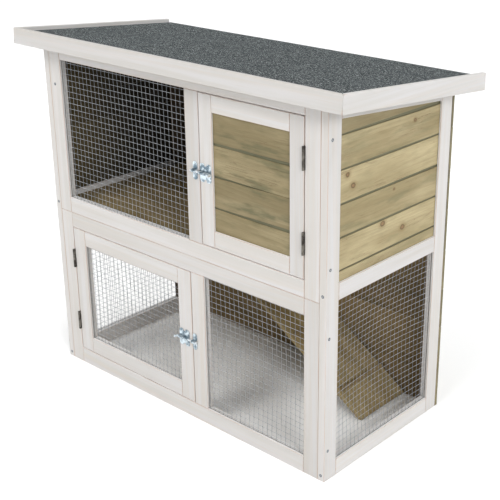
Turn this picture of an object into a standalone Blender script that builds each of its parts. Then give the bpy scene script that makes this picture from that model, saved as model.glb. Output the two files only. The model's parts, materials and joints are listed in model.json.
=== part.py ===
"""Two-storey rabbit hutch of planed pine, with two doors, slide bolts, a ramp and a felted lean-to roof.

Positions are metres from the hutch's left side (x), its front face (y) and the ground (z). The empty
hutch_origin carries them to the model's own origin, on the ground under the middle of the roof.
"""
import math

import bmesh
import bpy
from mathutils import Matrix, Vector

# Overall
BODY_WIDTH = 0.810
FRAME_DEPTH = 0.389
STOCK = 0.017                 # thickness of every frame member
MEMBER = 0.037                # face width of a frame member
FOOTPRINT_MIDDLE = 0.1918     # middle of the roof, measured back from the front face
GAP = 0.0003                  # clearance between pieces that touch
EASED = 0.001                 # radius of an eased arris

# Roof: measured along the slope from the top front arris, and square to it
ROOF_SLOPE = math.radians(5.0)
ROOF_ARRIS = Vector((0.0, -0.033, 0.7992))
EAVES = 0.057                 # overhang of the trims past each side
TRIM_THICK = 0.010
TRIM_HEIGHT = 0.035
TRIM_BACK = 0.415             # plumb-cut rear ends of the side trims
FELT_DOWN = 0.008             # top of the felt, below the trims' top
FELT_THICK = 0.002
BOARD_THICK = 0.009
BOARD_BACK = 0.455

# Front frames
SEAM = 0.386                  # where the upper front frame stands on the lower one
MULLION = (0.446, 0.484)
LOWER_OPENING = (0.038, 0.350)
UPPER_OPENING = (0.422, 0.7375)

# Side frames
REAR_STILE = 0.352
SIDE_BOTTOM_RAIL = 0.036
SIDE_MIDDLE_RAIL = (0.385, 0.420)
SIDE_TOP_RAIL = 0.040
SIDE_SEAMS = (0.4412, 0.5066, 0.5720, 0.6374, 0.7028)

# Panels held in grooves
GROOVE_DEPTH = 0.005
MESH_INSET = 0.005
MESH_THICK = 0.0020            # two layers of welded wire
CLADDING_INSET = 0.0045
CLADDING_THICK = 0.008
VEE = 0.0012                  # depth of the vee between two boards

# Inside
BACK_THICK = 0.008
FLOOR_TOP = 0.408
FLOOR_THICK = 0.010
BATTEN_WIDTH = 0.018
HATCH = ((0.110, 0.220), (0.330, 0.389))
PARTITION = (0.461, 0.469)
DOORWAY = (0.210, 0.370)
DOORWAY_TOP = 0.620
DOORWAY_RADIUS = 0.040
RAMP_FOOT = 0.726
RAMP_SLOPE = math.radians(33.0)
RAMP_LENGTH = 0.732
RAMP_THICK = 0.010
RAMP_SIDES = (0.224, 0.382)

# Doors: outer corners (x, z)
UPPER_DOOR = ((0.4855, 0.4233), (0.7545, 0.7362))
UPPER_DOOR_MEMBER = 0.035
UPPER_DOOR_SEAMS = (0.5070, 0.5725, 0.6380)
LOWER_DOOR = ((0.0555, 0.0395), (0.4445, 0.349))
LOWER_DOOR_STILE = 0.0395
LOWER_DOOR_RAIL = 0.037

# Butt hinges: across (x) and forward (y) distances are from the pin's centre
UPPER_PIN = (0.75525, -0.0032)
LOWER_PIN = (0.05475, -0.0032)
UPPER_HINGES = (0.6375, 0.4735)
LOWER_HINGES = (0.2505, 0.0905)
HINGE_HEIGHT = 0.045
KNUCKLES = 4
KNUCKLE_RADIUS = 0.00275
PIN_RADIUS = 0.0010
BORE_RADIUS = 0.00135
LEAF_NEAR = 0.00095
LEAF_FAR = 0.00195
LEAF_FRONT = 0.0035
LEAF_BACK = 0.0192
NECK_FRONT = 0.0016
MORTISE_DEPTH = 0.0015

# Slide bolts
ROD_RADIUS = 0.0024
ROD_LENGTH = 0.0575
ROD_FORWARD = 0.0043          # rod's centre in front of the front face
HANDLE_LENGTH = 0.0100
HANDLE_BEND = 0.0036
PLATE_THICK = 0.001
PLATE_HEIGHT = 0.038
PLATE_CORNER = 0.0045
PLATE_NOTCH = (0.0080, 0.0050) # between the two ears at each end of a plate: width, depth
PLATE_NOTCH_ROUND = 0.0024
KEEPER_WIDTH = 0.012
STRAP_INNER = 0.0029
STRAP_OUTER = 0.0039
STRAP_END = 0.001             # from a strap to the end of its plate
STRAP_BREAK = 0.003           # between a plate's two straps

ARC_SIDES = 20
ALONG_X = Vector((1.0, 0.0, 0.0))
ALONG_Z = Vector((0.0, 0.0, 1.0))


# Scene and materials

def collection(name):
    made = bpy.data.collections.new(name)
    bpy.context.scene.collection.children.link(made)
    return made


def material(name, colour, roughness, metallic=0.0):
    made = bpy.data.materials.new(name)
    made.use_nodes = True
    shader = made.node_tree.nodes["Principled BSDF"]
    shader.inputs["Base Color"].default_value = (*colour, 1.0)
    shader.inputs["Roughness"].default_value = roughness
    shader.inputs["Metallic"].default_value = metallic
    made.diffuse_color = (*colour, 1.0)
    return made


def empty(name, where, parent=None, tilt=0.0):
    made = bpy.data.objects.new(name, None)
    made.location = where
    made.rotation_euler.x = tilt
    made.parent = parent
    PARTS.objects.link(made)
    return made


# Shapes: every mesh is made in its parent's space and keeps its origin at about

def mesh_of(work, name, about):
    bmesh.ops.translate(work, vec=-Vector(about), verts=work.verts)
    bmesh.ops.recalc_face_normals(work, faces=work.faces)
    mesh = bpy.data.meshes.new(name)
    work.to_mesh(mesh)
    work.free()
    return mesh


def block(low, high, reshape=None):
    """A box between two corners. reshape(corner, side) may move its corners; side tells which corner it is."""
    low, high = Vector(low), Vector(high)
    middle = (low + high) / 2
    work = bmesh.new()
    bmesh.ops.create_cube(work, size=1.0)
    bmesh.ops.scale(work, vec=high - low, verts=work.verts)
    bmesh.ops.translate(work, vec=middle, verts=work.verts)
    if reshape:
        for corner in work.verts:
            corner.co = reshape(corner.co.copy(), corner.co - middle)
    return work


def add_round(work, centre, radius, length, axis=ALONG_Z, sides=ARC_SIDES):
    """A round bar about centre, along axis."""
    turn = ALONG_Z.rotation_difference(axis).to_matrix().to_4x4()
    bmesh.ops.create_cone(
        work, cap_ends=True, segments=sides, radius1=radius, radius2=radius, depth=length,
        matrix=Matrix.Translation(centre) @ turn,
    )


def add_box(work, low, high):
    low, high = Vector(low), Vector(high)
    corners = bmesh.ops.create_cube(work, size=1.0)["verts"]
    bmesh.ops.scale(work, vec=high - low, verts=corners)
    bmesh.ops.translate(work, vec=(low + high) / 2, verts=corners)
    return corners


def arch(x_low, x_high, radius, axis_y, axis_z, base_y):
    """A bar along X with a half-round front at axis_y and straight legs back to base_y."""
    outline = [(base_y, axis_z - radius)]
    for step in range(ARC_SIDES // 2 + 1):
        angle = math.pi * step / (ARC_SIDES // 2)
        outline.append((axis_y - radius * math.sin(angle), axis_z - radius * math.cos(angle)))
    outline.append((base_y, axis_z + radius))
    work = bmesh.new()
    end = work.faces.new([work.verts.new((x_low, y, z)) for y, z in outline])
    grown = bmesh.ops.extrude_face_region(work, geom=[end])["geom"]
    moved = [item for item in grown if isinstance(item, bmesh.types.BMVert)]
    bmesh.ops.translate(work, vec=(x_high - x_low, 0.0, 0.0), verts=moved)
    return work


def rounded_plate(low, high, corner, steps):
    """A sheet-metal plate, flat in XZ, with rounded corners."""
    work = block(low, high)
    upright = [edge for edge in work.edges if abs((edge.verts[0].co - edge.verts[1].co).normalized().y) > 0.5]
    bmesh.ops.bevel(
        work, geom=upright, offset=corner, segments=steps, profile=0.5, affect="EDGES", clamp_overlap=True
    )
    return work


# Objects

def add_piece(name, work, look, parent=None, about=(0.0, 0.0, 0.0)):
    parent = parent or HUTCH
    mesh = mesh_of(work, name, about)
    mesh.materials.append(look)
    made = bpy.data.objects.new(name, mesh)
    made.parent = parent
    made.location = about
    PARTS.objects.link(made)
    return made


def add_cutter(name, work, parent=None):
    made = bpy.data.objects.new(name, mesh_of(work, name, (0.0, 0.0, 0.0)))
    made.parent = parent or HUTCH
    made.hide_render = True
    made.display_type = "WIRE"
    CUTTERS.objects.link(made)
    return made


def combine(target, tool, operation, own_overlaps=False):
    step = target.modifiers.new(f"{operation.lower()} {tool.name}"[:60], "BOOLEAN")
    step.operation = operation
    step.solver = "EXACT"
    step.use_self = own_overlaps
    step.object = tool
    return target


def smooth(piece):
    piece.data.shade_smooth()
    piece.data.set_sharp_from_angle(angle=math.radians(35))
    return piece


def board(name, low, high, look=None, parent=None, reshape=None, eased=EASED):
    """A planed piece of wood, GAP / 2 smaller all round than the space it fills, with eased arrises."""
    slack = Vector((GAP, GAP, GAP)) / 2
    low = Vector(low) + slack
    high = Vector(high) - slack
    if low.z < GAP and parent is None:
        low.z = 0.0
    made = add_piece(name, block(low, high, reshape), look or WHITE, parent, (low + high) / 2)
    if eased:
        bevel = made.modifiers.new("eased arrises", "BEVEL")
        bevel.width = eased
        bevel.segments = 2
        bevel.limit_method = "ANGLE"
    return made


def roof_underside(y):
    """Height of the roof board's underside above the ground, y behind the front face."""
    down = FELT_DOWN + FELT_THICK + BOARD_THICK
    return ROOF_ARRIS.z - down / math.cos(ROOF_SLOPE) - (y - ROOF_ARRIS.y) * math.tan(ROOF_SLOPE)


def under_roof(down):
    """Cut the top of a piece to the roof's slope, down below the roof board."""
    def reshape(corner, side):
        if side.z > 0:
            corner.z = roof_underside(corner.y) - down
        return corner
    return reshape


def between_slopes(corner, side):
    """The top rail of a side frame: both its edges follow the roof."""
    corner.z = roof_underside(corner.y) - (GAP / 2 if side.z > 0 else SIDE_TOP_RAIL - GAP / 2)
    return corner


def panel(name, members, low, high, look, parent=None, reshape=None, wider_reshape=None):
    """A panel held in grooves ploughed in the members round it."""
    slack = Vector((GAP, GAP, GAP))
    tool = add_cutter(f"{name}_groove", block(Vector(low) - slack, Vector(high) + slack, wider_reshape), parent)
    for member in members:
        combine(member, tool, "DIFFERENCE")
    return add_piece(name, block(low, high, reshape), look, parent, (Vector(low) + Vector(high)) / 2)


def vee_joints(piece, along, outer_face, low, high, heights, parent=None):
    """Vees between the boards of a panel: square bars, turned on a corner, let into its outer face."""
    work = bmesh.new()
    side = VEE * math.sqrt(2)
    for height in heights:
        half = Vector((side, side, side)) / 2
        half[along] = (high - low) / 2
        centre = Vector((outer_face, outer_face, height))
        centre[along] = (low + high) / 2
        corners = add_box(work, -half, half)
        turn = Matrix.Rotation(math.radians(45), 3, "X" if along == 0 else "Y")
        bmesh.ops.rotate(work, cent=(0.0, 0.0, 0.0), matrix=turn, verts=corners)
        bmesh.ops.translate(work, vec=centre, verts=corners)
    combine(piece, add_cutter(f"{piece.name}_vees", work, parent), "DIFFERENCE")


# The hutch's fixed frames

def front_frame(prefix, z_low, z_high, opening, meshed):
    """Two stiles, a mullion between two rails, and a wire-mesh panel in the half that has no door."""
    inner_left = STOCK + MEMBER
    inner_right = BODY_WIDTH - inner_left
    top = under_roof(GAP / 2) if z_high > SEAM else None
    left = board(f"{prefix}_left_stile", (STOCK, 0, z_low), (inner_left, STOCK, z_high), reshape=top)
    right = board(
        f"{prefix}_right_stile", (inner_right, 0, z_low), (BODY_WIDTH - STOCK, STOCK, z_high), reshape=top
    )
    bottom = board(f"{prefix}_bottom_rail", (inner_left, 0, z_low), (inner_right, STOCK, opening[0]))
    upper = board(
        f"{prefix}_top_rail", (inner_left, 0, opening[1]), (inner_right, STOCK, z_high), reshape=top
    )
    mullion = board(f"{prefix}_mullion", (MULLION[0], 0, opening[0]), (MULLION[1], STOCK, opening[1]))
    mesh_edges = (inner_left, MULLION[0]) if meshed == "left" else (MULLION[1], inner_right)
    stile = left if meshed == "left" else right
    panel(
        f"{prefix}_mesh", (stile, mullion, bottom, upper),
        (mesh_edges[0] - GROOVE_DEPTH, MESH_INSET, opening[0] - GROOVE_DEPTH),
        (mesh_edges[1] + GROOVE_DEPTH, MESH_INSET + MESH_THICK, opening[1] + GROOVE_DEPTH),
        WIRE,
    )
    return left, right, mullion


def side_frame(prefix, outer, inner):
    """A side of the hutch between x = outer and x = inner: boards above, wire mesh below."""
    inward = 1.0 if inner > outer else -1.0
    low_x, high_x = min(outer, inner), max(outer, inner)
    rear = FRAME_DEPTH
    crown = under_roof(GAP / 2)
    full_height = roof_underside(0.0)
    front_stile = board(f"{prefix}_front_stile", (low_x, 0, 0), (high_x, MEMBER, full_height), reshape=crown)
    rear_stile = board(
        f"{prefix}_rear_stile", (low_x, REAR_STILE, 0), (high_x, rear, full_height), reshape=crown
    )
    bottom = board(f"{prefix}_bottom_rail", (low_x, MEMBER, 0), (high_x, REAR_STILE, SIDE_BOTTOM_RAIL))
    middle = board(
        f"{prefix}_middle_rail", (low_x, MEMBER, SIDE_MIDDLE_RAIL[0]), (high_x, REAR_STILE, SIDE_MIDDLE_RAIL[1])
    )
    top = board(
        f"{prefix}_top_rail", (low_x, MEMBER, full_height - SIDE_TOP_RAIL), (high_x, REAR_STILE, full_height),
        reshape=between_slopes,
    )
    y_low = MEMBER - GROOVE_DEPTH
    y_high = REAR_STILE + GROOVE_DEPTH

    def across(inset, thickness):
        near = outer + inward * inset
        far = near + inward * thickness
        return min(near, far), max(near, far)

    mesh_x = across(MESH_INSET, MESH_THICK)
    panel(
        f"{prefix}_mesh", (front_stile, rear_stile, bottom, middle),
        (mesh_x[0], y_low, SIDE_BOTTOM_RAIL - GROOVE_DEPTH),
        (mesh_x[1], y_high, SIDE_MIDDLE_RAIL[0] + GROOVE_DEPTH),
        WIRE,
    )
    boards_x = across(CLADDING_INSET, CLADDING_THICK)
    tucked = SIDE_TOP_RAIL - GROOVE_DEPTH
    cladding = panel(
        f"{prefix}_cladding", (front_stile, rear_stile, middle, top),
        (boards_x[0], y_low, SIDE_MIDDLE_RAIL[1] - GROOVE_DEPTH),
        (boards_x[1], y_high, full_height),
        PINE, reshape=under_roof(tucked), wider_reshape=under_roof(tucked - GAP),
    )
    vee_joints(cladding, 1, outer + inward * CLADDING_INSET, 0.0, FRAME_DEPTH, SIDE_SEAMS)


def roof():
    """Board, felt and three trims, all laid in the plane of the slope."""
    slope = empty("roof_slope", ROOF_ARRIS, HUTCH, -ROOF_SLOPE)
    left, right = -EAVES, BODY_WIDTH + EAVES
    felt_low = -FELT_DOWN - FELT_THICK
    board(
        "roof_board", (left + TRIM_THICK, TRIM_THICK, felt_low - BOARD_THICK),
        (right - TRIM_THICK, BOARD_BACK, felt_low), PINE, slope, eased=0.0,
    )
    board(
        "roof_felt", (left + TRIM_THICK, TRIM_THICK, felt_low), (right - TRIM_THICK, BOARD_BACK, -FELT_DOWN),
        FELT, slope, eased=0.0,
    )

    def mitred_ends(corner, side):
        if side.y > 0:
            corner.x -= math.copysign(TRIM_THICK, side.x)
        return corner

    board("roof_front_trim", (left, 0, -TRIM_HEIGHT), (right, TRIM_THICK, 0), WHITE, slope, mitred_ends)

    def side_trim(name, outer, inward):
        inner = outer + inward * TRIM_THICK

        def reshape(corner, side):
            if side.y < 0 and side.x * inward > 0:
                corner.y += TRIM_THICK
            if side.y > 0:
                back = TRIM_BACK - ROOF_ARRIS.y
                corner.y = back / math.cos(ROOF_SLOPE) - corner.z * math.tan(ROOF_SLOPE)
            return corner

        low = (min(outer, inner), GAP, -TRIM_HEIGHT)
        board(name, low, (max(outer, inner), BOARD_BACK, 0), WHITE, slope, reshape)

    side_trim("roof_left_trim", left, 1)
    side_trim("roof_right_trim", right, -1)


def inside():
    """Back panel, upper floor on its batten, partition and ramp."""
    back = board(
        "back_panel", (0, FRAME_DEPTH, 0), (BODY_WIDTH, FRAME_DEPTH + BACK_THICK, roof_underside(0.0)),
        PINE, reshape=under_roof(GAP / 2), eased=0.0,
    )
    pitch = SIDE_SEAMS[1] - SIDE_SEAMS[0]
    lowest = SIDE_SEAMS[0] - 6 * pitch
    seams = [lowest + pitch * step for step in range(11)]
    vee_joints(back, 0, FRAME_DEPTH + GAP / 2, -MEMBER, BODY_WIDTH + MEMBER, seams)

    floor_low = FLOOR_TOP - FLOOR_THICK
    far_x = BODY_WIDTH - STOCK
    floor = board(
        "upper_floor", (STOCK, STOCK, floor_low), (far_x, FRAME_DEPTH, FLOOR_TOP), PINE, eased=0.0
    )
    hatch = block((*HATCH[0], floor_low - MEMBER), (HATCH[1][0], HATCH[1][1] + MEMBER, FLOOR_TOP + MEMBER))
    combine(floor, add_cutter("hatch", hatch), "DIFFERENCE")
    board(
        "floor_batten", (STOCK, STOCK, SEAM), (far_x, STOCK + BATTEN_WIDTH, floor_low), PINE, eased=0.0
    )

    partition = board(
        "partition", (PARTITION[0], STOCK, FLOOR_TOP), (PARTITION[1], FRAME_DEPTH, roof_underside(0.0)),
        PINE, reshape=under_roof(GAP / 2), eased=0.0,
    )
    doorway = block(
        (PARTITION[0] - MEMBER, DOORWAY[0], FLOOR_TOP - MEMBER),
        (PARTITION[1] + MEMBER, DOORWAY[1], DOORWAY_TOP),
    )
    head = [
        edge for edge in doorway.edges
        if all(end.co.z > FLOOR_TOP for end in edge.verts)
        and abs(edge.verts[0].co.y - edge.verts[1].co.y) < GAP
    ]
    bmesh.ops.bevel(doorway, geom=head, offset=DOORWAY_RADIUS, segments=6, profile=0.5, affect="EDGES")
    combine(partition, add_cutter("doorway", doorway), "DIFFERENCE")

    ramp_parent = empty("ramp_foot", (RAMP_FOOT, 0.0, GAP), HUTCH)
    ramp_parent.rotation_euler.y = RAMP_SLOPE
    board(
        "ramp", (-RAMP_LENGTH, RAMP_SIDES[0], 0), (0, RAMP_SIDES[1], RAMP_THICK), PINE, ramp_parent, eased=0.0
    )


# Doors and their hardware: made about the pin, in the space of an empty on the pin's line

def from_pin(pin, x, y, z):
    return Vector((x - pin[0], y - pin[1], z))


def door_boards(prefix, pin, parent, outer, stile, rail):
    """Two full-height stiles with two rails between them. Returns them, and the opening they leave."""
    (x_low, z_low), (x_high, z_high) = outer

    def member(name, x0, z0, x1, z1):
        return board(
            f"{prefix}_{name}", from_pin(pin, x0, 0, z0), from_pin(pin, x1, STOCK, z1), WHITE, parent
        )

    left = member("left_stile", x_low, z_low, x_low + stile, z_high)
    right = member("right_stile", x_high - stile, z_low, x_high, z_high)
    bottom = member("bottom_rail", x_low + stile, z_low, x_high - stile, z_low + rail)
    top = member("top_rail", x_low + stile, z_high - rail, x_high - stile, z_high)
    opening = (x_low + stile, z_low + rail), (x_high - stile, z_high - rail)
    return left, right, bottom, top, opening


def door_panel(name, pin, parent, members, opening, inset, thickness, look):
    (x_low, z_low), (x_high, z_high) = opening
    low = from_pin(pin, x_low - GROOVE_DEPTH, inset, z_low - GROOVE_DEPTH)
    high = from_pin(pin, x_high + GROOVE_DEPTH, inset + thickness, z_high + GROOVE_DEPTH)
    return panel(name, members, low, high, look, parent)


def hinge_leaf(name, parent, pin, z_low, away, own, with_pin):
    """One leaf of a butt hinge, let into the edge of the wood on the away side (-1 or +1) of the pin.

    own lists its knuckles, counted upwards. The leaf that holds the pin turns in the other's bored knuckles.
    """
    local = (0.0, 0.0) if parent.name.endswith("_pin") else pin
    middle = Vector((local[0], local[1], z_low + HINGE_HEIGHT / 2))
    near, far = sorted((middle.x + away * LEAF_NEAR, middle.x + away * LEAF_FAR))
    front, back = middle.y + LEAF_FRONT, middle.y + LEAF_BACK
    leaf = block((near, front, z_low), (far, back, z_low + HINGE_HEIGHT))
    made = add_piece(name, leaf, STEEL, parent)
    rolled = bmesh.new()
    each = HINGE_HEIGHT / KNUCKLES
    for place in own:
        foot = z_low + each * place + GAP / 2
        length = each - GAP
        add_round(rolled, Vector((middle.x, middle.y, foot + length / 2)), KNUCKLE_RADIUS, length)
        add_box(rolled, (near, middle.y + NECK_FRONT, foot), (far, front + LEAF_FAR, foot + length))
    if with_pin:
        add_round(rolled, middle, PIN_RADIUS, HINGE_HEIGHT, sides=ARC_SIDES // 2)
    combine(made, add_cutter(f"{name}_knuckles", rolled, parent), "UNION", own_overlaps=True)
    if not with_pin:
        bore = bmesh.new()
        add_round(bore, middle, BORE_RADIUS, HINGE_HEIGHT + MEMBER)
        combine(made, add_cutter(f"{name}_bore", bore, parent), "DIFFERENCE")
    return smooth(made)


def mortise(name, member, parent, pin, z_low, away):
    """The shallow recess for a leaf, open at the front, in the edge of a stile."""
    local = (0.0, 0.0) if parent.name.endswith("_pin") else pin
    edge = local[0]
    bottom = edge + away * (LEAF_NEAR + MORTISE_DEPTH - GAP / 2)
    near, far = sorted((edge, bottom))
    low = (near, local[1], z_low - GAP)
    high = (far, local[1] + LEAF_BACK + GAP, z_low + HINGE_HEIGHT + GAP)
    combine(member, add_cutter(name, block(low, high), parent), "DIFFERENCE")


def hinge(prefix, pin, door, door_stile, frame_stile, z_low, door_side):
    door_own = range(door_side > 0, KNUCKLES, 2)
    frame_own = range(door_side < 0, KNUCKLES, 2)
    hinge_leaf(f"{prefix}_door_leaf", door, pin, z_low, door_side, door_own, with_pin=False)
    hinge_leaf(f"{prefix}_frame_leaf", HUTCH, pin, z_low, -door_side, frame_own, with_pin=True)
    mortise(f"{prefix}_door_mortise", door_stile, door, pin, z_low, door_side)
    mortise(f"{prefix}_frame_mortise", frame_stile, HUTCH, pin, z_low, -door_side)


def bolt_plate(name, parent, pin, size):
    """Base plate with two half-round straps that the rod slides in."""
    x_low, x_high = (x - pin[0] for x in size["plate"])
    face = -pin[1] - GAP
    axis_y = -pin[1] - ROD_FORWARD
    half = PLATE_HEIGHT / 2
    plate = rounded_plate(
        (x_low, face - PLATE_THICK, size["z"] - half), (x_high, face, size["z"] + half), PLATE_CORNER, 3
    )
    made = add_piece(name, plate, ZINC, parent)
    middle = (x_low + x_high) / 2
    sink = face - PLATE_THICK / 2
    straps = ((x_low + STRAP_END, middle - STRAP_BREAK / 2), (middle + STRAP_BREAK / 2, x_high - STRAP_END))
    for place, (start, end) in zip(("left", "right"), straps):
        strap = arch(start, end, STRAP_OUTER, axis_y, size["z"], sink)
        combine(made, add_cutter(f"{name}_{place}_strap", strap, parent), "UNION")
    channel = arch(
        x_low - MEMBER, x_high + MEMBER, STRAP_INNER, axis_y, size["z"], face - PLATE_THICK - GAP / 3
    )
    combine(made, add_cutter(f"{name}_channel", channel, parent), "DIFFERENCE")
    wide, deep = PLATE_NOTCH
    for place, edge in (("lower", size["z"] - half), ("upper", size["z"] + half)):
        notch = rounded_plate(
            (middle - wide / 2, face - MEMBER, edge - deep), (middle + wide / 2, face + MEMBER, edge + deep),
            PLATE_NOTCH_ROUND, 3,
        )
        combine(made, add_cutter(f"{name}_{place}_notch", notch, parent), "DIFFERENCE")
    return smooth(made)


def keeper(name, size):
    """Two round ears joined by an arch that the rod's end enters, fixed to the mullion."""
    half = KEEPER_WIDTH / 2
    x_low, x_high = size["keeper"] - half, size["keeper"] + half
    tall = PLATE_HEIGHT / 2
    ears = rounded_plate(
        (x_low, -GAP - PLATE_THICK, size["z"] - tall), (x_high, -GAP, size["z"] + tall),
        half - GAP, 5,
    )
    made = add_piece(name, ears, ZINC)
    body = arch(x_low + GAP, x_high - GAP, STRAP_OUTER, -ROD_FORWARD, size["z"], -GAP - PLATE_THICK / 2)
    combine(made, add_cutter(f"{name}_arch", body), "UNION")
    inner = arch(x_low - MEMBER, x_high + MEMBER, STRAP_INNER, -ROD_FORWARD, size["z"], STOCK)
    combine(made, add_cutter(f"{name}_opening", inner), "DIFFERENCE")
    return smooth(made)


def bolt(name, parent, pin, size):
    """The sliding rod: straight to its rear end, where it turns out of its plate as the handle."""
    toward = size["toward"]
    droop = math.radians(size["droop"])
    rear = from_pin(pin, size["rear"], -ROD_FORWARD, size["z"])
    outward = Vector((0.0, -math.cos(droop), -math.sin(droop)))
    along = ALONG_X * toward
    route = [rear + along * ROD_LENGTH, rear + along * HANDLE_BEND]
    for step in (1, 2, 3):
        angle = math.radians(90) * step / 3
        round_bend = along * (1 - math.sin(angle)) + outward * (1 - math.cos(angle))
        route.append(rear + round_bend * HANDLE_BEND)
    route.append(rear + outward * HANDLE_LENGTH)
    curve = bpy.data.curves.new(name, "CURVE")
    curve.dimensions = "3D"
    curve.bevel_depth = ROD_RADIUS
    curve.bevel_resolution = 4
    curve.use_fill_caps = True
    line = curve.splines.new("POLY")
    line.points.add(len(route) - 1)
    for point, where in zip(line.points, route):
        point.co = (*(where - rear), 1.0)
    curve.materials.append(ZINC)
    made = bpy.data.objects.new(name, curve)
    made.parent = parent
    made.location = rear
    PARTS.objects.link(made)
    return made


def upper_door(frame_stile):
    door = empty("upper_door_pin", (*UPPER_PIN, 0.0), HUTCH)
    left, right, bottom, top, opening = door_boards(
        "upper_door", UPPER_PIN, door, UPPER_DOOR, UPPER_DOOR_MEMBER, UPPER_DOOR_MEMBER
    )
    cladding = door_panel(
        "upper_door_cladding", UPPER_PIN, door, (left, right, bottom, top), opening,
        CLADDING_INSET, CLADDING_THICK, PINE,
    )
    face = CLADDING_INSET - UPPER_PIN[1]
    vee_joints(
        cladding, 0, face, UPPER_DOOR[0][0] - UPPER_PIN[0], UPPER_DOOR[1][0] - UPPER_PIN[0],
        UPPER_DOOR_SEAMS, door,
    )
    for place, z_low in zip(("upper", "lower"), UPPER_HINGES):
        hinge(f"upper_door_{place}_hinge", UPPER_PIN, door, right, frame_stile, z_low, -1)
    bolt_plate("upper_bolt_plate", door, UPPER_PIN, UPPER_BOLT)
    bolt("upper_bolt", door, UPPER_PIN, UPPER_BOLT)
    keeper("upper_bolt_keeper", UPPER_BOLT)


def lower_door(frame_stile):
    door = empty("lower_door_pin", (*LOWER_PIN, 0.0), HUTCH)
    left, right, bottom, top, opening = door_boards(
        "lower_door", LOWER_PIN, door, LOWER_DOOR, LOWER_DOOR_STILE, LOWER_DOOR_RAIL
    )
    door_panel(
        "lower_door_mesh", LOWER_PIN, door, (left, right, bottom, top), opening, MESH_INSET, MESH_THICK, WIRE
    )
    for place, z_low in zip(("upper", "lower"), LOWER_HINGES):
        hinge(f"lower_door_{place}_hinge", LOWER_PIN, door, left, frame_stile, z_low, 1)
    bolt_plate("lower_bolt_plate", door, LOWER_PIN, LOWER_BOLT)
    bolt("lower_bolt", door, LOWER_PIN, LOWER_BOLT)
    keeper("lower_bolt_keeper", LOWER_BOLT)


# z: rod height, plate: ends of the base plate, keeper: its centre, rear: the rod's handle,
# toward: side that the keeper is on, droop: degrees that the handle points below level
UPPER_BOLT = {"z": 0.5765, "plate": (0.4864, 0.5164), "keeper": 0.4722, "rear": 0.5191, "toward": -1, "droop": 0}
LOWER_BOLT = {"z": 0.1905, "plate": (0.4055, 0.4355), "keeper": 0.4526, "rear": 0.4028, "toward": 1, "droop": -10}

for old in list(bpy.data.objects):
    bpy.data.objects.remove(old)

PARTS = collection("rabbit_hutch")
CUTTERS = collection("cutters")
WHITE = material("white_paint", (0.80, 0.79, 0.76), 0.55)
PINE = material("treated_pine", (0.45, 0.36, 0.20), 0.75)
FELT = material("mineral_felt", (0.10, 0.115, 0.115), 0.95)
WIRE = material("galvanised_wire", (0.42, 0.43, 0.44), 0.45, 0.9)
ZINC = material("zinc_plate", (0.62, 0.68, 0.72), 0.3, 1.0)
STEEL = material("hinge_steel", (0.30, 0.31, 0.32), 0.4, 1.0)
HUTCH = empty("hutch_origin", (-BODY_WIDTH / 2, -FOOTPRINT_MIDDLE, 0.0))

lower_left_stile, _, _ = front_frame("front_lower", 0.0, SEAM, LOWER_OPENING, "right")
_, upper_right_stile, _ = front_frame("front_upper", SEAM, roof_underside(0.0), UPPER_OPENING, "left")
side_frame("left", 0.0, STOCK)
side_frame("right", BODY_WIDTH, BODY_WIDTH - STOCK)
roof()
inside()
upper_door(upper_right_stile)
lower_door(lower_left_stile)
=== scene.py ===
"""Looks of the two-storey rabbit hutch: whitewash, treated boards, welded wire, felt and zinc bolts."""

import json
import math
import random

import bmesh
import bpy
from mathutils import Matrix, Vector


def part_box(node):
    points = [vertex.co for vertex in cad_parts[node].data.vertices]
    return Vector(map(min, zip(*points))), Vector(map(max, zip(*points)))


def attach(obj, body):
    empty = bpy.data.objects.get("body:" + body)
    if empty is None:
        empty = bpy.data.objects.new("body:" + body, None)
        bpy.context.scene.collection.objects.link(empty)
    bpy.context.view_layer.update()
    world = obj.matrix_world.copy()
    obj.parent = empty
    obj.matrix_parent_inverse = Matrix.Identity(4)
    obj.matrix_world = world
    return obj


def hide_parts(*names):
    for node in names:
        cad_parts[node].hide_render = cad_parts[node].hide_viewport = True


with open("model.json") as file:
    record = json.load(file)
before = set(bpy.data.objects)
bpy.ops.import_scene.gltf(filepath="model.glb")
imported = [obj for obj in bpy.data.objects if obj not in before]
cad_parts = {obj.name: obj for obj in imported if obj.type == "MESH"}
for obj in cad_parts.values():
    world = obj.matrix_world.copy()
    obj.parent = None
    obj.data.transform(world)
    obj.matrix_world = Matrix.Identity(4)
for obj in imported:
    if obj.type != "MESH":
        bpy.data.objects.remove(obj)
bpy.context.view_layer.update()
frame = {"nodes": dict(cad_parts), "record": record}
NODES = frame["nodes"]
BODY_OF = {node: body for body, nodes in frame["record"]["behaviour"]["bodies"].items() for node in nodes}

X = Vector((1.0, 0.0, 0.0))
Y = Vector((0.0, 1.0, 0.0))
Z = Vector((0.0, 0.0, 1.0))
MM = 0.001
FULL_TURN = 6.28


def srgb(red, green, blue):
    """A colour given as 0-255 display values."""
    def linear(value):
        value /= 255.0
        return value / 12.92 if value <= 0.04045 else ((value + 0.055) / 1.055) ** 2.4
    return (linear(red), linear(green), linear(blue), 1.0)


# Camera: place in metres, angles in degrees, lens and film in millimetres
CAMERA_PLACE = (1.4939, -1.5265, 1.2096)
CAMERA_TILT = 68.30
CAMERA_HEADING = 41.34
LENS = 74.42
FILM_WIDTH = 36.0
LENS_SHIFT = (-0.0830, -0.0272)
FARTHEST_SEEN = 60.0

# Softboxes: azimuth from straight in front towards the right, elevation, size, power and colour
SOFTBOXES = {
    "front_softbox": (-10.0, 50.0, 8.0, 1350.0, (1.0, 0.985, 0.96)),
    "low_fill": (5.0, 16.0, 7.0, 850.0, (1.0, 1.0, 1.0)),
    "right_softbox": (65.0, 24.0, 8.0, 2500.0, (0.97, 0.985, 1.0)),
}
SOFTBOX_DISTANCE = 20.0
SOFTBOX_AIM = Vector((0.0, 0.0, 0.35))

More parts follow.
